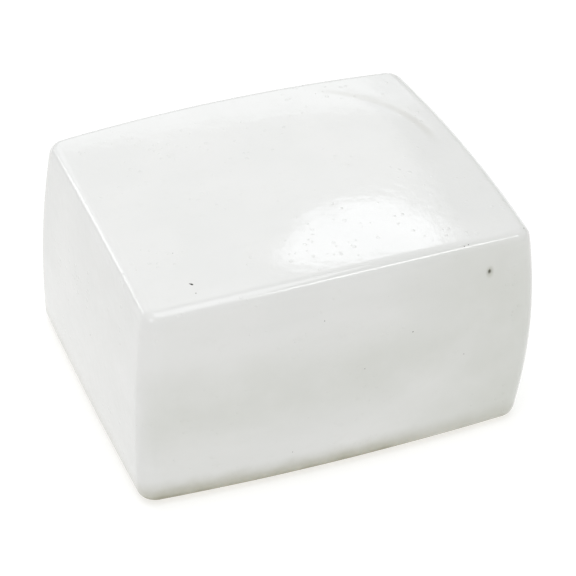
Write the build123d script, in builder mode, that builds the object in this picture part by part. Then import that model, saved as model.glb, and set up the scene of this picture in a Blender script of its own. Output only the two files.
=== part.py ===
"""Raised pavement marker: a thick pressed ceramic block with a white glaze fired over it.

Two pieces make the marker.  The ceramic body is a pillowed block that stands on a rim and on a field of
small keying knobs, which the road adhesive grips.  The glaze coat is the skin of glass fused over the top
and the four walls; it stops just above the foot.  Millimetres, +Z up, origin at the middle of the foot, on
the road surface.
"""

import os
from collections import namedtuple

from build123d import *

# ---- overall size ----
length = 100.0              # along X, measured at the levels where the walls stand out furthest
width = 86.5                # along Y
height = 56.0               # from the foot to the middle of the crowned top

# ---- walls ----
# The clay slumps a little as it is pressed and fired, so no two walls are quite alike or quite square.  Each
# one is given by the turn about Z that brings it round from the back (+Y), how far its middle reaches out
# from the middle of the block, its span, how far its middle stands out past its ends seen from above, the
# level where it stands out furthest, and the radius of the upright arc that it follows from foot to top.
Wall = namedtuple("Wall", "turn reach span bow level upright")
back = Wall(0, width / 2, length, 1.5, 4.0, 425.0)
front = Wall(180, width / 2, length, 2.2, 14.5, 495.0)
right = Wall(-88.7, length / 2, width, 1.6, 33.5, 135.0)
left = Wall(88.7, length / 2, width, 0.5, 12.5, 283.0)
walls = (back, front, right, left)
wall_overshoot = 2.0        # the walls run this far past the top before the crown trims them

# ---- top and edges ----
crown = 3.3                 # how far the corners of the top lie below its middle
arris_radius = 4.8          # upright corners between neighbouring walls
shoulder_radius = 3.6       # rounded edge all round the top
heel_radius = 3.6           # edge rolled under all round the foot

# ---- glaze ----
glaze_thickness = 0.5       # build-up of the fired glaze
glaze_line = 1.2            # lowest level of the glaze: the clay below it is bare

# ---- underside ----
rim_width = 6.0             # narrowest stretch of the flat rim round the recess
recess_depth = 1.3          # the recess floor is this far above the road
recess_corner = 5.0
knob_face = 5.0             # diameter of a knob where it meets the road
knob_root = 5.8             # diameter where it grows out of the recess floor
knob_edge = 0.3             # softened edge round a knob's face
knob_pitch = 7.2
knobs_along = 9             # along X
knobs_across = 7            # along Y


def arc_radius(half_span, rise):
    """Radius of an arc that rises by `rise` over half of its span."""
    return (half_span**2 + rise**2) / (2 * rise)


def lean_in(wall, level, upright_radius):
    """How far a wall at this level stands behind its furthest-out level."""
    return upright_radius - (upright_radius**2 - (level - wall.level) ** 2) ** 0.5


def bowed_wall(wall, inset):
    """Disc whose rim is the wall, moved in by `inset`, before it is turned round from the +Y side."""
    reach = wall.reach - inset
    upright_radius = wall.upright - inset
    axis_offset = arc_radius(wall.span / 2, wall.bow) - inset - reach
    top_level = height + wall_overshoot
    foot_point = (reach - lean_in(wall, 0, upright_radius), 0)
    top_point = (reach - lean_in(wall, top_level, upright_radius), top_level)
    with BuildPart() as disc:
        with BuildSketch(Plane.YZ):
            with BuildLine():
                Polyline(top_point, (-axis_offset, top_level), (-axis_offset, 0), foot_point)
                ThreePointArc(foot_point, (reach, wall.level), top_point)
            make_face()
        revolve(axis=Axis((0, -axis_offset, 0), (0, 0, 1)))
    return disc.part


def pillow_block(inset):
    """The pillowed block, with its top and walls moved in by `inset`; its foot stays on the road."""
    half_diagonal = (length**2 + width**2) ** 0.5 / 2
    dome_radius = arc_radius(half_diagonal, crown) - inset
    discs = [bowed_wall(wall, inset) for wall in walls]

    with BuildPart() as block:
        add(discs[0], rotation=(0, 0, walls[0].turn))
        for wall, disc in zip(walls[1:], discs[1:]):
            add(disc, rotation=(0, 0, wall.turn), mode=Mode.INTERSECT)
        arrises = block.edges().filter_by_position(Axis.Z, 0.25 * height, 0.75 * height)
        fillet(arrises, arris_radius - inset)
        with Locations((0, 0, height - inset - dome_radius)):
            Sphere(dome_radius, rotation=(0, 90, 0), mode=Mode.INTERSECT)
        shoulder = block.faces().sort_by(Axis.Z)[-1].edges()
        fillet(shoulder, shoulder_radius - inset)
        heel = block.faces().sort_by(Axis.Z)[0].edges()
        fillet(heel, heel_radius)
    return block.part


def foot_inset(*pair):
    """How far the flat of the foot lies inside the overall size, at the ends of the more tucked-in wall."""
    return glaze_thickness + heel_radius + max(wall.bow + lean_in(wall, 0, wall.upright) for wall in pair)


outer_form = pillow_block(0)
inner_form = pillow_block(glaze_thickness)
recess_length = length - 2 * (foot_inset(left, right) + rim_width)
recess_width = width - 2 * (foot_inset(front, back) + rim_width)

# ---- ceramic body: fired clay, recessed underneath, with the keying knobs ----
with BuildPart() as ceramic_body:
    add(inner_form)
    with BuildSketch(Plane.XY):
        RectangleRounded(recess_length, recess_width, recess_corner)
    extrude(amount=recess_depth, mode=Mode.SUBTRACT)
    with GridLocations(knob_pitch, knob_pitch, knobs_along, knobs_across):
        Cone(knob_face / 2, knob_root / 2, recess_depth, align=(Align.CENTER, Align.CENTER, Align.MIN))
    foot_arcs = ceramic_body.edges().filter_by(GeomType.CIRCLE).group_by(Axis.Z)[0]
    knob_rims = foot_arcs.filter_by(lambda edge: abs(edge.radius - knob_face / 2) < 0.01)
    fillet(knob_rims, knob_edge)
ceramic_body.part.label = "ceramic_body"

# ---- glaze coat: the skin over the top and the walls, down to the glaze line ----
with BuildPart() as glaze_coat:
    add(outer_form)
    add(inner_form, mode=Mode.SUBTRACT)
    split(bisect_by=Plane.XY.offset(glaze_line), keep=Keep.TOP)
glaze_coat.part.label = "glaze_coat"

os.makedirs("parts", exist_ok=True)
export_step(ceramic_body.part, "parts/ceramic_body.step")
export_step(glaze_coat.part, "parts/glaze_coat.step")

for piece in (ceramic_body.part, glaze_coat.part):
    size = piece.bounding_box().size
    print(piece.label, "solids", len(piece.solids()), "cm3", round(piece.volume / 1000, 1), "size", size)
print("recess", round(recess_length, 1), "x", round(recess_width, 1))
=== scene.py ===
"""Looks of the raised pavement marker: a white glazed ceramic block on a pale studio floor.

The glaze is built here as one closed skin of fired glass, with its swells, its rolled lower edge and its pit.
The clay body stays the CAD's own mesh and gets its unglazed fired clay.  Metres, in the CAD's frame; places
of blemishes and of tones in the glaze are in millimetres.
"""

import math
from collections import namedtuple

import bpy
import numpy as np
from mathutils import Matrix, Vector


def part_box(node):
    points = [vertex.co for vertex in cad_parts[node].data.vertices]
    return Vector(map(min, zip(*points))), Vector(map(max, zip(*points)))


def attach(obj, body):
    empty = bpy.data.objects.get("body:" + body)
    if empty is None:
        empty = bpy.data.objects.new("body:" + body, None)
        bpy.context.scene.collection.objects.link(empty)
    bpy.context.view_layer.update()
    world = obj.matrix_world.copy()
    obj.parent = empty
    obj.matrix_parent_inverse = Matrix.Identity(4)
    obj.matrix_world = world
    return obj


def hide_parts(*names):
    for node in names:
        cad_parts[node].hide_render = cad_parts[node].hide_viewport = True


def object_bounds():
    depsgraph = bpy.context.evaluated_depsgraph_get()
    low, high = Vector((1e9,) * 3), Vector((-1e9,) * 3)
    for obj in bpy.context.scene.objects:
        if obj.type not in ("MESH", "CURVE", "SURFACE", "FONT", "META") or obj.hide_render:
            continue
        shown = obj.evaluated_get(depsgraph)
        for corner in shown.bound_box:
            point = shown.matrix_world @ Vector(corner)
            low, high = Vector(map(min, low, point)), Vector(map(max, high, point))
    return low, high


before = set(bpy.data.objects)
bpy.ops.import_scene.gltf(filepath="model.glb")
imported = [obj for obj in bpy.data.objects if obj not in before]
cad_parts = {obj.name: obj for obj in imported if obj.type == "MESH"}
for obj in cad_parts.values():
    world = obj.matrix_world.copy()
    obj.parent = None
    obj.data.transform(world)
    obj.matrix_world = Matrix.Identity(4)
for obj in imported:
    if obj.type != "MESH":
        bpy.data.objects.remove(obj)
cad_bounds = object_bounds()

MM = 0.001
glaze_low, glaze_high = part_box("glaze_coat")
body_low, body_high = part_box("ceramic_body")
HALF_LENGTH = 50.0 * MM
HALF_WIDTH = 43.25 * MM
HEIGHT = glaze_high.z
GLAZE_LINE = glaze_low.z
GLAZE_THICKNESS = glaze_high.z - body_high.z

# ---- form of the block: the same arcs and radii as the CAD ----
Wall = namedtuple("Wall", "turn reach span bow level upright")
BACK = Wall(0, HALF_WIDTH, HALF_LENGTH, 1.5 * MM, 4.0 * MM, 425 * MM)
FRONT = Wall(180, HALF_WIDTH, HALF_LENGTH, 2.2 * MM, 14.5 * MM, 495 * MM)
RIGHT = Wall(-88.7, HALF_LENGTH, HALF_WIDTH, 1.6 * MM, 33.5 * MM, 135 * MM)
LEFT = Wall(88.7, HALF_LENGTH, HALF_WIDTH, 0.5 * MM, 12.5 * MM, 283 * MM)
CROWN = 3.3 * MM
ARRIS = 4.8 * MM
SHOULDER = 3.6 * MM
HEEL = 3.6 * MM

# ---- glaze surface ----
SHRINK = 0.03 * MM          # keeps the rippled skin inside the CAD's box
SWELLS = ((26 * MM, 0.060 * MM), (11 * MM, 0.018 * MM), (4.2 * MM, 0.0035 * MM))    # wavelength, height
SWELL_WAVES = 14
SWELL_SEED = 40
LOWEST_LINE = GLAZE_LINE + 0.2 * MM
LINE_WANDER = 0.35 * MM     # how far the lower edge of the glaze climbs above its lowest line
LINE_WAVELENGTH = 30 * MM
LINE_WAVES = 9
LINE_SEED = 7
INNER_INSET = 0.9 * GLAZE_THICKNESS

# ---- blemishes, as a place in millimetres from the middle of the foot ----
PIT = (36.4, -41.1, 45.7)
PIT_HALF_WIDTH, PIT_HALF_HEIGHT, PIT_DEPTH = 0.55, 0.85, 0.30
RUN_MIDDLE, RUN_RADIUS = (9.5, 5.0), 31.7           # shallow run in the glaze round the back right of the top
RUN_HALF_WIDTH, RUN_DEPTH = 2.3, 0.055
SPECK_HALF_THICKNESS = 0.06
SPECK_SUNK = 0.02
SPECK_SEED = 11
SPECKS = (                                          # place, half length, half width, turn in degrees
    ((-33.9, -31.7, 54.4), 0.62, 0.27, -50), ((-34.0, -35.1, 54.2), 0.16, 0.13, 0),
    ((30.3, -39.6, 53.6), 0.17, 0.12, 0), ((31.4, -39.4, 53.6), 0.13, 0.11, 0),
    ((46.7, -37.0, 52.9), 0.16, 0.12, 0), ((-5.5, -42.4, 43.6), 0.15, 0.11, 0),
    ((16.6, -42.6, 34.7), 0.17, 0.14, 0), ((30.0, -42.4, 24.4), 0.13, 0.11, 0),
    ((4.4, -43.1, 27.6), 0.13, 0.10, 0), ((-13.6, -43.1, 8.1), 0.12, 0.10, 0),
    ((-33.9, -19.3, 54.8), 0.11, 0.09, 0), ((-49.8, -3.5, 24.8), 0.12, 0.10, 0),
    ((21.0, 38.5, 54.0), 0.14, 0.10, 20), ((48.9, 12.0, 31.0), 0.15, 0.11, 0),
    ((-21.0, 43.0, 22.0), 0.16, 0.12, 0),
)

# ---- lattice of the skin ----
GATHER_X = ((0.766, 0.030, 3.0),)    # where its lines draw together for the pit: place, reach, strength
GATHER_Y = ()
GATHER_UP = ((0.646, 0.040, 3.0),)
COLUMNS_X = 170
COLUMNS_Y = 140
ROWS = 96
COARSE = 5                  # the inside has one column for this many outside
INNER_ROWS = 16
BEAD_STEPS = 5              # round the rolled lower edge
SIDE_CROWDING = 1.5         # how strongly the columns crowd towards the arrises
ROW_CROWDING = 1.35
CAST_PAST = 1.02            # rays from inside aim this far out, as a share of the half sizes
CAST_REACH = 1.3
CAST_STEPS = 34


def arc_radius(half_span, rise):
    """Radius of an arc that rises by `rise` over half of its span."""
    return (half_span**2 + rise**2) / (2 * rise)


def rounded(first, second, radius):
    """Where two surfaces meet, with a ball of this radius rolled along the edge: distances and normals."""
    (near, near_normal), (far, far_normal) = first, second
    cosine = (near_normal * far_normal).sum(1)
    spread = np.maximum(1 - cosine**2, 1e-6)
    near_part = (near + radius - cosine * (far + radius)) / spread
    far_part = (far + radius - cosine * (near + radius)) / spread
    across = near_part[:, None] * near_normal + far_part[:, None] * far_normal
    reach = np.linalg.norm(across, axis=1)
    on_edge = (near_part > 0) & (far_part > 0)
    flat = np.where(near > far, near, far)
    flat_normal = np.where((near > far)[:, None], near_normal, far_normal)
    distance = np.where(on_edge, reach - radius, flat)
    normal = np.where(on_edge[:, None], across / np.maximum(reach, 1e-9)[:, None], flat_normal)
    return distance, normal


def wall_surface(wall, points, inset):
    """Distance outside one bowed wall, and its normal."""
    turn = math.radians(wall.turn)
    outward = np.array([-math.sin(turn), math.cos(turn)])
    along = np.array([math.cos(turn), math.sin(turn)])
    plan = arc_radius(wall.span, wall.bow)
    out_part = points[:, :2] @ outward + plan - wall.reach
    along_part = points[:, :2] @ along
    ring = np.hypot(out_part, along_part)
    level_part = ring - (plan - wall.upright)
    rise_part = points[:, 2] - wall.level
    tube = np.hypot(level_part, rise_part)
    plan_normal = (out_part[:, None] * outward + along_part[:, None] * along) / ring[:, None]
    normal = np.column_stack([plan_normal * (level_part / tube)[:, None], rise_part / tube])
    return tube - wall.upright + inset, normal


def chosen(mask, first, second):
    """Takes each point's distance and normal from the first surface where the mask holds."""
    return np.where(mask, first[0], second[0]), np.where(mask[:, None], first[1], second[1])


def block_surface(points, inset=0.0):
    """Signed distance, near the surface, to the pillowed block moved in by `inset`, and its normal."""
    back, front, right, left = (wall_surface(wall, points, inset) for wall in (BACK, FRONT, RIGHT, LEFT))
    end = chosen(points[:, 0] > 0, right, left)
    flank = chosen(points[:, 1] > 0, back, front)
    sides = rounded(end, flank, ARRIS - inset)
    dome = arc_radius(math.hypot(HALF_LENGTH, HALF_WIDTH), CROWN)
    spokes = points - np.array([0, 0, HEIGHT - dome])
    reach = np.linalg.norm(spokes, axis=1)
    top = (reach - dome + inset, spokes / reach[:, None])
    upper = rounded(sides, top, SHOULDER - inset)
    ground = (-points[:, 2], np.tile([0.0, 0.0, -1.0], (len(points), 1)))
    return rounded(upper, ground, HEEL)


def block_distance(points, inset=0.0):
    """Signed distance alone."""
    return block_surface(points, inset)[0]


def cast(origins, targets, inset=0.0):
    """Where each ray from inside the block crosses its surface."""
    near = np.zeros(len(origins))
    far = np.full(len(origins), CAST_REACH)
    for _ in range(CAST_STEPS):
        middle = (near + far) / 2
        outside = block_distance(origins + (targets - origins) * middle[:, None], inset) > 0
        far = np.where(outside, middle, far)
        near = np.where(outside, near, middle)
    return origins + (targets - origins) * near[:, None]


def normals_at(points, inset=0.0):
    """Outward normals of the block at points on its surface."""
    return block_surface(points, inset)[1]


def ripple(points, wavelength, waves, seed):
    """Smooth wandering field from -1 to 1: a few plane waves in random directions."""
    rng = np.random.default_rng(seed)
    total = np.zeros(len(points))
    for _ in range(waves):
        direction = rng.normal(size=3)
        direction *= 2 * math.pi / (wavelength * rng.uniform(0.75, 1.35) * np.linalg.norm(direction))
        total += np.sin(points @ direction + rng.uniform(0, 2 * math.pi))
    return total / waves * 1.6


def ramp(values, start, stretch):
    """0 up to the start, then rising to 1 over the stretch."""
    return np.clip((values - start) / stretch, 0, 1)


def glaze_relief(points):
    """How far the fired skin lies below the block's ideal surface: swells, the run and the pit."""
    relief = np.full(len(points), SHRINK)
    for turn, (wavelength, height) in enumerate(SWELLS):
        swell = ripple(points, wavelength, SWELL_WAVES, SWELL_SEED + turn)
        relief += height * (1 + np.clip(swell, -1, 1)) / 2
    place = points / MM
    off_run = np.hypot(place[:, 0] - RUN_MIDDLE[0], place[:, 1] - RUN_MIDDLE[1]) - RUN_RADIUS
    run_ends = ramp(place[:, 0], 20, 8) * ramp(place[:, 1], 0, 8)
    on_top = ramp(place[:, 2], 50, 2)
    relief += RUN_DEPTH * MM * np.exp(-((off_run / RUN_HALF_WIDTH) ** 2)) * run_ends * on_top
    across = (place[:, 0] - PIT[0]) / PIT_HALF_WIDTH
    rise = (place[:, 2] - PIT[2]) / PIT_HALF_HEIGHT
    in_front = place[:, 1] < 0
    relief += PIT_DEPTH * MM * np.exp(-((across**2 + rise**2) ** 1.3)) * in_front
    return relief


def crowded(count, power, gatherings=()):
    """Positions from -1 to 1, closer together towards both ends and round each gathering's middle."""
    even = np.linspace(-1, 1, 4001)
    place = np.sign(even) * (1 - (1 - np.abs(even)) ** power)
    density = 1 / np.gradient(place, even)
    for middle, reach, strength in gatherings:
        density += strength * density.min() * np.exp(-(((place - middle) / reach) ** 2))
    total = np.concatenate([[0], np.cumsum((density[1:] + density[:-1]) / 2 * np.diff(place))])
    return np.interp(np.linspace(0, total[-1], count + 1), total, place)


def side_lattice(columns_x, columns_y):
    """Columns along X and along Y, as shares of the half sizes."""
    return crowded(columns_x, SIDE_CROWDING, GATHER_X), crowded(columns_y, SIDE_CROWDING, GATHER_Y)


def rim_lattice(x, y):
    """Points round the block's outline, once round, as shares of the half sizes."""
    front = [(value, -1.0) for value in x[:-1]]
    right = [(1.0, value) for value in y[:-1]]
    back = [(value, 1.0) for value in x[:0:-1]]
    left = [(-1.0, value) for value in y[:0:-1]]
    return np.array(front + right + back + left)


def skin(columns_x, columns_y, rows, line, inset):
    """Vertices and quads of the skin, from the line near its foot up the walls and over the top."""
    x, y = side_lattice(columns_x, columns_y)
    rim = rim_lattice(x, y)
    around = len(rim)
    share = (crowded(rows, ROW_CROWDING, GATHER_UP) + 1) / 2
    half = np.array([HALF_LENGTH, HALF_WIDTH])
    origins, targets = [], []
    for value in share:
        low = line * (1 - value)
        ray_z = low + value * HEIGHT / 2
        target_z = low + value * HEIGHT
        origins.append(np.column_stack([np.zeros((around, 2)), ray_z]))
        targets.append(np.column_stack([rim * half * CAST_PAST, target_z]))
    grid_x, grid_y = np.meshgrid(x[1:-1] * HALF_LENGTH, y[1:-1] * HALF_WIDTH, indexing="ij")
    lid = np.column_stack([grid_x.ravel(), grid_y.ravel()]) * CAST_PAST
    lid = np.column_stack([lid, np.full(len(lid), HEIGHT)])
    origins.append(np.column_stack([np.zeros((len(lid), 2)), np.full(len(lid), HEIGHT / 2)]))
    targets.append(lid)
    points = cast(np.concatenate(origins), np.concatenate(targets), inset)

    faces = []
    for row in range(rows):
        for column in range(around):
            after = (column + 1) % around
            low, high = row * around, (row + 1) * around
            faces.append((low + column, low + after, high + after, high + column))

    def top_index(i, j):
        if j == 0:
            return rows * around + i
        if i == columns_x:
            return rows * around + columns_x + j
        if j == columns_y:
            return rows * around + columns_x + columns_y + (columns_x - i)
        if i == 0:
            return rows * around + 2 * columns_x + columns_y + (columns_y - j)
        return (rows + 1) * around + (i - 1) * (columns_y - 1) + (j - 1)

    for i in range(columns_x):
        for j in range(columns_y):
            corners = ((i, j), (i + 1, j), (i + 1, j + 1), (i, j + 1))
            faces.append(tuple(top_index(*corner) for corner in corners))
    return points, faces, around


def glaze_mesh():
    """The closed skin: rippled outside, rolled lower edge, plain inside against the clay."""
    rim = rim_lattice(*side_lattice(COLUMNS_X, COLUMNS_Y)) * np.array([HALF_LENGTH, HALF_WIDTH])
    flat_rim = np.column_stack([rim, np.zeros(len(rim))])
    wander = (1 + np.clip(ripple(flat_rim, LINE_WAVELENGTH, LINE_WAVES, LINE_SEED), -1, 1)) / 2
    line = LOWEST_LINE + LINE_WANDER * wander
    outer, faces, around = skin(COLUMNS_X, COLUMNS_Y, ROWS, line, 0.0)
    outer_normals = normals_at(outer)
    outer = outer - outer_normals * glaze_relief(outer)[:, None]

    inner, inner_faces, inner_around = skin(
        COLUMNS_X // COARSE, COLUMNS_Y // COARSE, INNER_ROWS, line[::COARSE], INNER_INSET
    )
    edge_origins = np.column_stack([np.zeros((around, 2)), line])
    edge_targets = np.column_stack([rim * CAST_PAST, line])
    seat = cast(edge_origins, edge_targets, INNER_INSET)
    middle = (outer[:around] + seat) / 2
    reach = (outer[:around] - seat) / 2
    down = outer[:around] - outer[around : 2 * around]
    down -= (down * outer_normals[:around]).sum(1)[:, None] * outer_normals[:around]
    down *= (np.linalg.norm(reach, axis=1) / np.linalg.norm(down, axis=1))[:, None]
    bead = [
        middle + reach * math.cos(angle) + down * math.sin(angle)
        for angle in np.linspace(0, math.pi, BEAD_STEPS + 1)[1:]
    ]

    vertices = np.concatenate([outer, *bead, inner])
    rings = [0] + [len(outer) + step * around for step in range(BEAD_STEPS)]
    for upper, lower in zip(rings[:-1], rings[1:]):
        for column in range(around):
            after = (column + 1) % around
            faces.append((lower + column, lower + after, upper + after, upper + column))
    inner_start = len(outer) + BEAD_STEPS * around
    last = rings[-1]
    for segment in range(inner_around):
        after = (segment + 1) % inner_around
        fine = [last + (segment * COARSE + step) % around for step in range(COARSE + 1)]
        faces.append((*reversed(fine), inner_start + segment, inner_start + after))
    faces += [tuple(inner_start + index for index in reversed(face)) for face in inner_faces]

    mesh = bpy.data.meshes.new("glaze_skin")
    mesh.from_pydata(vertices.tolist(), [], faces)
    mesh.update()
    mesh.shade_smooth()
    return mesh


def specks_mesh():
    """Small flat lumps of burnt iron, sunk for the most part into the glaze."""
    rng = np.random.default_rng(SPECK_SEED)
    vertices, faces = [], []
    rings, segments = 6, 14
    for place, half_length, half_width, turn in SPECKS:
        seat = np.array([place]) * MM
        for _ in range(3):
            distance, normal = block_surface(seat)
            seat = seat - normal * distance[:, None]
        normal = block_surface(seat)[1][0]
        seat = seat[0] - normal * (glaze_relief(seat)[0] + SPECK_SUNK * MM)
        side = np.cross(normal, [0.0, 0.0, 1.0] if abs(normal[2]) < 0.9 else [0.0, 1.0, 0.0])
        side /= np.linalg.norm(side)
        over = np.cross(normal, side)
        angle = math.radians(turn)
        long_way = side * math.cos(angle) + over * math.sin(angle)
        short_way = over * math.cos(angle) - side * math.sin(angle)
        first = len(vertices)
        wobble = 1 + 0.16 * np.sin(np.arange(segments) * 2 * math.pi / segments * 3 + rng.uniform(0, 6))
        wobble += rng.uniform(-0.08, 0.08, segments)
        for ring in range(1, rings):
            fall = math.pi * ring / rings
            for step in range(segments):
                way = 2 * math.pi * step / segments
                reach = math.sin(fall) * wobble[step] * MM
                vertices.append(
                    seat
                    + long_way * half_length * reach * math.cos(way)
                    + short_way * half_width * reach * math.sin(way)
                    + normal * SPECK_HALF_THICKNESS * MM * math.cos(fall)
                )
        top, bottom = len(vertices), len(vertices) + 1
        vertices += [seat + normal * SPECK_HALF_THICKNESS * MM, seat - normal * SPECK_HALF_THICKNESS * MM]
        for step in range(segments):
            after = (step + 1) % segments
            faces.append((first + step, first + after, top))
            last = first + (rings - 2) * segments
            faces.append((last + after, last + step, bottom))
            for ring in range(rings - 2):
                low, high = first + (ring + 1) * segments, first + ring * segments
                faces.append((low + step, low + after, high + after, high + step))
    mesh = bpy.data.meshes.new("kiln_specks")
    mesh.from_pydata([tuple(vertex) for vertex in vertices], [], faces)
    mesh.update()
    mesh.shade_smooth()
    return mesh


# ---- materials ----
def new_material(name):
    """Empty node material: its tree, its shader, and its place on the block in millimetres."""
    material = bpy.data.materials.new(name)
    material.use_nodes = True
    tree = material.node_tree
    tree.nodes.clear()
    output = tree.nodes.new("ShaderNodeOutputMaterial")
    shader = tree.nodes.new("ShaderNodeBsdfPrincipled")
    tree.links.new(shader.outputs["BSDF"], output.inputs["Surface"])
    place = tree.nodes.new("ShaderNodeTexCoord").outputs["Object"]
    scaled = tree.nodes.new("ShaderNodeVectorMath")
    scaled.operation = "SCALE"
    scaled.inputs["Scale"].default_value = 1 / MM
    tree.links.new(place, scaled.inputs[0])
    return material, tree, shader, scaled.outputs["Vector"]


def noise(tree, place, grain, detail=3.0, roughness=0.55):
    """Noise whose lumps are about `grain` millimetres across."""
    node = tree.nodes.new("ShaderNodeTexNoise")
    node.inputs["Scale"].default_value = 1 / grain
    node.inputs["Detail"].default_value = detail
    node.inputs["Roughness"].default_value = roughness
    tree.links.new(place, node.inputs["Vector"])
    return node.outputs["Fac"]


def remap(tree, value, low, high, start=0.0, end=1.0, smooth=True):
    """Value carried from one range to another, held at both ends."""
    node = tree.nodes.new("ShaderNodeMapRange")
    node.interpolation_type = "SMOOTHSTEP" if smooth else "LINEAR"
    tree.links.new(value, node.inputs["Value"])
    for socket, number in (("From Min", low), ("From Max", high), ("To Min", start), ("To Max", end)):
        node.inputs[socket].default_value = number
    return node.outputs["Result"]


def stretched(tree, place, scale):
    """Place with each axis multiplied by its own number."""
    node = tree.nodes.new("ShaderNodeVectorMath")
    node.operation = "MULTIPLY"
    tree.links.new(place, node.inputs[0])
    node.inputs[1].default_value = scale
    return node.outputs["Vector"]


def distance_to(tree, place, middle):
    """Distance from a fixed point."""
    node = tree.nodes.new("ShaderNodeVectorMath")
    node.operation = "DISTANCE"
    tree.links.new(place, node.inputs[0])
    node.inputs[1].default_value = middle
    return node.outputs["Value"]


def maths(tree, operation, first, second):
    """Sum, product and the like of two sockets or numbers."""
    node = tree.nodes.new("ShaderNodeMath")
    node.operation = operation
    for socket, value in zip(node.inputs, (first, second)):
        if isinstance(value, (int, float)):
            socket.default_value = value
        else:
            tree.links.new(value, socket)
    return node.outputs["Value"]


def blended(tree, share, first, second):
    """Colour between two colours, each a tuple or a socket."""
    node = tree.nodes.new("ShaderNodeMix")
    node.data_type = "RGBA"
    tree.links.new(share, node.inputs["Factor"])
    for name, value in (("A", first), ("B", second)):
        socket = next(item for item in node.inputs if item.name == name and item.type == "RGBA")
        if isinstance(value, tuple):
            socket.default_value = (*value, 1)
        else:
            tree.links.new(value, socket)
    return next(item for item in node.outputs if item.type == "RGBA")


def sparse_dots(tree, place, spacing, radius, kept):
    """Small round dots, one in some cells only: 1 in the middle of a dot, 0 outside."""
    node = tree.nodes.new("ShaderNodeTexVoronoi")
    node.inputs["Scale"].default_value = 1 / spacing
    tree.links.new(place, node.inputs["Vector"])
    picked = tree.nodes.new("ShaderNodeSeparateColor")
    tree.links.new(node.outputs["Color"], picked.inputs["Color"])
    chosen_cell = maths(tree, "LESS_THAN", picked.outputs["Red"], kept)
    size = maths(tree, "MULTIPLY_ADD", picked.outputs["Green"], radius / spacing)
    size.node.inputs[2].default_value = 0.5 * radius / spacing
    ratio = maths(tree, "DIVIDE", node.outputs["Distance"], size)
    return maths(tree, "MULTIPLY", remap(tree, ratio, 0.55, 1.0, 1.0, 0.0), chosen_cell)


def bump(tree, height, depth, under=None):
    """Bump of this many millimetres."""
    node = tree.nodes.new("ShaderNodeBump")
    node.inputs["Strength"].default_value = 1.0
    node.inputs["Distance"].default_value = depth * MM
    tree.links.new(height, node.inputs["Height"])
    if under is not None:
        tree.links.new(under, node.inputs["Normal"])
    return node.outputs["Normal"]


def cloudy_tone(tree, place, up):
    """White with faint clouds and a fine mottle, and level streaks: random darker tone that is also painted
    shade, strong on the walls and faint on the top.
    """
    cloud = remap(tree, noise(tree, place, 24.0, 2.0), 0.35, 0.65)
    tone = blended(tree, cloud, (0.795, 0.797, 0.782), (0.815, 0.815, 0.800))
    mottle = remap(tree, noise(tree, place, 3.2, 4.0, 0.65), 0.52, 0.78, 0.0, 0.10)
    tone = blended(tree, mottle, tone, (0.66, 0.66, 0.62))
    # level streaks of darker tone, kept faint on the top: random tone and painted shade together
    streak = noise(tree, stretched(tree, place, (0.45, 0.45, 1.3)), 12.0, 4.0)
    shade = remap(tree, streak, 0.35, 0.70, 0.0, 0.22)
    shade = maths(tree, "MULTIPLY", shade, remap(tree, up, 46, 52, 1.0, 0.3))
    return blended(tree, shade, tone, (0.70, 0.705, 0.675))


def painted_front_shade(tree, place, axes, tone):
    """Painted shade: a darker, greener band half way up the front wall, and darker towards its right end."""
    on_front = remap(tree, axes["Y"], -38, -42, 0.0, 1.0)
    off_middle = maths(tree, "ABSOLUTE", maths(tree, "SUBTRACT", axes["Z"], 27.0), 0.0)
    front_shade_share = remap(tree, off_middle, 2.0, 17.0, 0.55, 0.0)
    front_shade_share = maths(tree, "MAXIMUM", front_shade_share, remap(tree, axes["X"], 0.0, 46.0, 0.0, 0.75))
    patches = remap(tree, noise(tree, place, 17.0, 3.0), 0.3, 0.65, 0.65, 1.1)
    # the band and the darker right end are painted shade
    front_shade_share = maths(tree, "MULTIPLY", front_shade_share, patches)
    return blended(tree, maths(tree, "MULTIPLY", front_shade_share, on_front), tone, (0.66, 0.67, 0.625))


def painted_foot_shade(tree, place, axes, tone):
    """Painted shade towards the foot, olive and then dark buff at the base, most in front and to the left;
    also the share of the darker base shade, which dulls the gloss.
    """
    wobble = remap(tree, noise(tree, place, 7.0, 3.0), 0.3, 0.7, -0.6, 0.6, False)
    level = maths(tree, "ADD", axes["Z"], wobble)
    share = remap(tree, axes["Y"], -36, -42, 0.30, 1.0)
    share = maths(tree, "MULTIPLY", share, remap(tree, axes["X"], 6, 38, 1.0, 0.45))
    # olive painted shade over the lower few millimetres
    foot_shade_share = maths(tree, "MULTIPLY", remap(tree, level, 1.0, 7.8, 1.0, 0.0), share)
    tone = blended(tree, foot_shade_share, tone, (0.42, 0.41, 0.32))
    # darker painted shade right at the base; this share also dulls the gloss
    base_shade_and_dulling = maths(tree, "MULTIPLY", remap(tree, level, 1.0, 3.0, 0.9, 0.0), share)
    return blended(tree, base_shade_and_dulling, tone, (0.23, 0.215, 0.14)), base_shade_and_dulling


def painted_pit_shade(tree, place, tone):
    """Pit darkened with painted shade, with a grey halo."""
    scale = (1 / PIT_HALF_WIDTH, 0.2, 1 / PIT_HALF_HEIGHT)
    pit_place = stretched(tree, place, scale)
    pit_middle = tuple(value * factor for value, factor in zip(PIT, scale))
    from_pit = distance_to(tree, pit_place, pit_middle)
    tone = blended(tree, remap(tree, from_pit, 0.8, 2.4, 0.45, 0.0), tone, (0.40, 0.40, 0.33))
    # near-black core in the dent: painted shade
    return blended(tree, remap(tree, from_pit, 0.25, 1.05, 1.0, 0.0), tone, (0.11, 0.105, 0.075))


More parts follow.
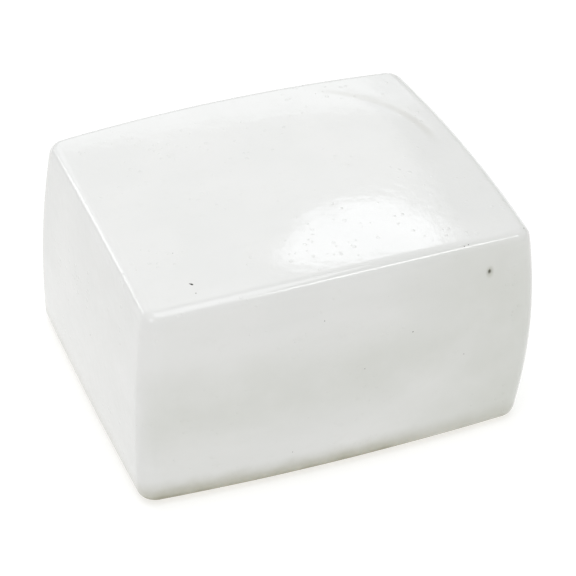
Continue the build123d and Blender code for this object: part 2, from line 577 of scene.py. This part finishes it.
def painted_run_reflection(tree, place, axes, tone):
    """Painted dark reflection: a faint olive line along the run, fading out at both ends and off the top."""
    flat = stretched(tree, place, (1.0, 1.0, 0.0))
    off_run = maths(tree, "SUBTRACT", distance_to(tree, flat, (*RUN_MIDDLE, 0.0)), RUN_RADIUS)
    # olive share along the run: a painted dark reflection
    run = remap(tree, maths(tree, "ABSOLUTE", off_run, 0.0), 0.1, 1.8, 0.17, 0.0)
    for axis, low, high in (("X", 21, 29), ("Y", 0, 9), ("Z", 50, 52)):
        run = maths(tree, "MULTIPLY", run, remap(tree, axes[axis], low, high))
    return blended(tree, run, tone, (0.36, 0.34, 0.26))


def glaze_bumps(tree, place, pinholes):
    """Orange peel, a finer grain, small blisters in patches, and the pinholes."""
    peel = bump(tree, noise(tree, place, 2.4, 2.5, 0.55), 0.030)
    fine = bump(tree, noise(tree, place, 0.7, 2.0, 0.5), 0.0035, peel)
    patchy = remap(tree, noise(tree, place, 13.0, 2.0), 0.46, 0.58)
    blisters = maths(tree, "MULTIPLY", sparse_dots(tree, place, 1.7, 0.42, 0.5), patchy)
    blistered = bump(tree, blisters, 0.055, fine)
    return bump(tree, maths(tree, "MULTIPLY", pinholes, -1.0), 0.05, blistered)


def glaze_material():
    """White fired glaze: clouds and streaks, painted shade on the front wall, at the foot and in the pit, a
    painted dark reflection along the run, pinholes and dark flecks.
    """
    material, tree, shader, place = new_material("white_glaze")
    split = tree.nodes.new("ShaderNodeSeparateXYZ")
    tree.links.new(place, split.inputs["Vector"])
    axes = {axis: split.outputs[axis] for axis in "XYZ"}

    tone = cloudy_tone(tree, place, axes["Z"])
    tone = painted_front_shade(tree, place, axes, tone)
    tone, base_shade_and_dulling = painted_foot_shade(tree, place, axes, tone)
    tone = painted_pit_shade(tree, place, tone)
    tone = painted_run_reflection(tree, place, axes, tone)
    pinholes = sparse_dots(tree, place, 5.0, 0.16, 0.16)
    flecks = sparse_dots(tree, place, 11.0, 0.20, 0.18)
    tone = blended(tree, maths(tree, "MULTIPLY", pinholes, 0.45), tone, (0.42, 0.41, 0.36))
    tone = blended(tree, maths(tree, "MULTIPLY", flecks, 0.70), tone, (0.20, 0.17, 0.11))
    tree.links.new(tone, shader.inputs["Base Color"])

    roughness = remap(tree, noise(tree, place, 2.0, 4.0, 0.6), 0.3, 0.7, 0.035, 0.085)
    # the base's painted-shade share also raises the roughness there
    roughness = maths(tree, "ADD", roughness, maths(tree, "MULTIPLY", base_shade_and_dulling, 0.35))
    tree.links.new(roughness, shader.inputs["Roughness"])
    shader.inputs["IOR"].default_value = 1.5
    tree.links.new(glaze_bumps(tree, place, pinholes), shader.inputs["Normal"])
    return material


def clay_material():
    """Bare fired clay: warm buff with darker grog grains and a dry, gritty surface."""
    material, tree, shader, place = new_material("fired_clay")
    body = remap(tree, noise(tree, place, 6.0, 4.0), 0.35, 0.65)
    tone = blended(tree, body, (0.40, 0.345, 0.235), (0.52, 0.46, 0.335))
    grog = sparse_dots(tree, place, 1.3, 0.22, 0.30)
    tone = blended(tree, maths(tree, "MULTIPLY", grog, 0.6), tone, (0.20, 0.16, 0.10))
    tree.links.new(tone, shader.inputs["Base Color"])
    grit = noise(tree, place, 0.5, 5.0, 0.7)
    tree.links.new(remap(tree, grit, 0.3, 0.7, 0.72, 0.92), shader.inputs["Roughness"])
    tree.links.new(bump(tree, grit, 0.08), shader.inputs["Normal"])
    return material


def speck_material():
    """Iron speck burnt through the glaze: nearly black, brown at its edge, half glassy."""
    material, tree, shader, place = new_material("iron_speck")
    share = remap(tree, noise(tree, place, 0.5, 3.0), 0.35, 0.65)
    tone = blended(tree, share, (0.012, 0.011, 0.009), (0.045, 0.034, 0.020))
    tree.links.new(tone, shader.inputs["Base Color"])
    roughness = remap(tree, noise(tree, place, 0.25, 2.0), 0.3, 0.7, 0.25, 0.5)
    tree.links.new(roughness, shader.inputs["Roughness"])
    tree.links.new(bump(tree, noise(tree, place, 0.2, 2.0), 0.02), shader.inputs["Normal"])
    return material


def floor_material():
    """Plain pale studio floor, lit up from within so that only a faint shadow stays on it."""
    material, tree, shader, place = new_material("pale_floor")
    cloud = remap(tree, noise(tree, place, 60.0, 3.0), 0.3, 0.7)
    tone = blended(tree, cloud, (0.39, 0.39, 0.39), (0.41, 0.41, 0.41))
    tree.links.new(tone, shader.inputs["Base Color"])
    tree.links.new(remap(tree, cloud, 0.0, 1.0, 0.85, 0.95), shader.inputs["Roughness"])
    shader.inputs["Specular IOR Level"].default_value = 0.0
    shader.inputs["Emission Color"].default_value = (1.0, 1.0, 0.985, 1)
    shader.inputs["Emission Strength"].default_value = 0.68
    return material


# ---- pieces ----
glaze = bpy.data.objects.new("glaze_skin", glaze_mesh())
bpy.context.scene.collection.objects.link(glaze)
glaze.data.materials.append(glaze_material())
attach(glaze, "root")
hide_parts("glaze_coat")

specks = bpy.data.objects.new("kiln_specks", specks_mesh())
bpy.context.scene.collection.objects.link(specks)
specks.data.materials.append(speck_material())
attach(specks, "root")

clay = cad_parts["ceramic_body"]
clay.data.materials.clear()
clay.data.materials.append(clay_material())

# ---- studio ----
FLOOR_HALF = 3.0
floor_mesh = bpy.data.meshes.new("studio_floor")
floor_corners = [(x * FLOOR_HALF, y * FLOOR_HALF, 0) for x, y in ((-1, -1), (1, -1), (1, 1), (-1, 1))]
floor_mesh.from_pydata(floor_corners, [], [(0, 1, 2, 3)])
floor = bpy.data.objects.new("studio_floor", floor_mesh)
floor.data.materials.append(floor_material())
bpy.context.scene.collection.objects.link(floor)

middle = (Vector(cad_bounds[0]) + Vector(cad_bounds[1])) / 2


def towards(azimuth, elevation):
    """Direction from the block, in degrees: azimuth 0 is in front, positive to the right."""
    turn, rise = math.radians(azimuth), math.radians(elevation)
    return Vector((math.sin(turn) * math.cos(rise), -math.cos(turn) * math.cos(rise), math.sin(rise)))


def softbox(
    name, azimuth, elevation, distance, width, height, radiance, faces=None, colour=(1, 1, 1), fills=True
):
    """Rectangular light aimed at the block.

    `faces` is the azimuth that its back is turned to, where that isn't straight away from the block.  One
    that doesn't fill is seen only in the gloss.
    """
    light = bpy.data.lights.new(name, "AREA")
    light.shape = "RECTANGLE"
    light.size = width
    light.size_y = height
    light.energy = radiance * math.pi * width * height
    light.color = colour
    holder = bpy.data.objects.new(name, light)
    turned_to = azimuth if faces is None else faces
    holder.location = middle + towards(azimuth, elevation) * distance
    holder.visible_diffuse = fills
    holder.rotation_euler = towards(turned_to, elevation).to_track_quat("Z", "Y").to_euler()
    bpy.context.scene.collection.objects.link(holder)


world = bpy.data.worlds.new("studio")
world.use_nodes = True
sky = world.node_tree
sky_split = sky.nodes.new("ShaderNodeSeparateXYZ")
sky.links.new(sky.nodes.new("ShaderNodeTexCoord").outputs["Generated"], sky_split.inputs["Vector"])
from_left = remap(sky, sky_split.outputs["X"], -0.8, 0.8)
room = blended(sky, from_left, (0.57, 0.57, 0.575), (0.475, 0.48, 0.465))
sky.links.new(room, sky.nodes["Background"].inputs["Color"])
bpy.context.scene.world = world

COOL_WHITE = (0.97, 1.0, 1.06)
BACK_AZIMUTH = 186
softbox("overhead", -20, 80, 1.8, 1.3, 1.3, 2.8, colour=(0.985, 0.995, 1.02))
softbox("front_fill", -15, 20, 1.8, 0.80, 0.60, 0.45, colour=(1.0, 1.0, 0.95))
softbox("left_glint", -67, 30, 1.6, 0.62, 0.62, 2.4, fills=False)
softbox("front_glint", 34, 50, 1.6, 0.70, 0.24, 6.5, fills=False)
softbox("back_left", -142, 17, 1.6, 0.55, 0.28, 2.6, fills=False)
softbox("back_bank", BACK_AZIMUTH, 40, 1.7, 1.9, 1.00, 0.72)
softbox("back_low", BACK_AZIMUTH, 24.5, 1.6, 1.9, 0.36, 0.75, colour=COOL_WHITE)

# the window behind the block, as strips that shorten towards its arched lower side
WINDOW_AZIMUTH, WINDOW_ELEVATION, WINDOW_DISTANCE = 153, 39.5, 1.5
WINDOW_FACES = 172
WINDOW_WIDTH, WINDOW_TALL = 0.236, 0.165
WINDOW_STRIPS = 5
for strip in range(WINDOW_STRIPS):
    share = (strip + 0.5) / WINDOW_STRIPS
    lower = math.degrees(WINDOW_TALL / WINDOW_DISTANCE) * (share - 0.5)
    strip_width = WINDOW_WIDTH * math.sqrt(1 - share**2)
    softbox(
        f"back_window_{strip}", WINDOW_AZIMUTH, WINDOW_ELEVATION - lower, WINDOW_DISTANCE, strip_width,
        WINDOW_TALL / WINDOW_STRIPS, 2.0, faces=WINDOW_FACES, colour=COOL_WHITE,
    )

# ---- camera: the photograph's viewing angle ----
CAMERA_AZIMUTH = -21.4
CAMERA_ELEVATION = 35.75
CAMERA_DISTANCE = 0.7413
CAMERA_LENS = 191.0
AIM_RIGHT = 2.07 * MM
AIM_UP = -3.94 * MM

back = towards(CAMERA_AZIMUTH, CAMERA_ELEVATION)
right = Vector((0, 0, 1)).cross(back).normalized()
up = back.cross(right)
camera = bpy.data.objects.new("camera", bpy.data.cameras.new("camera"))
camera.data.lens = CAMERA_LENS
camera.data.sensor_width = 36
camera.data.clip_start = 0.02
camera.data.clip_end = 20
turned = Matrix((right, up, back)).transposed().to_4x4()
camera_place = middle + back * CAMERA_DISTANCE + right * AIM_RIGHT + up * AIM_UP
camera.matrix_world = Matrix.Translation(camera_place) @ turned
bpy.context.scene.collection.objects.link(camera)
bpy.context.scene.camera = camera

bpy.context.scene.view_settings.view_transform = "Standard"
bpy.context.scene.view_settings.look = "None"
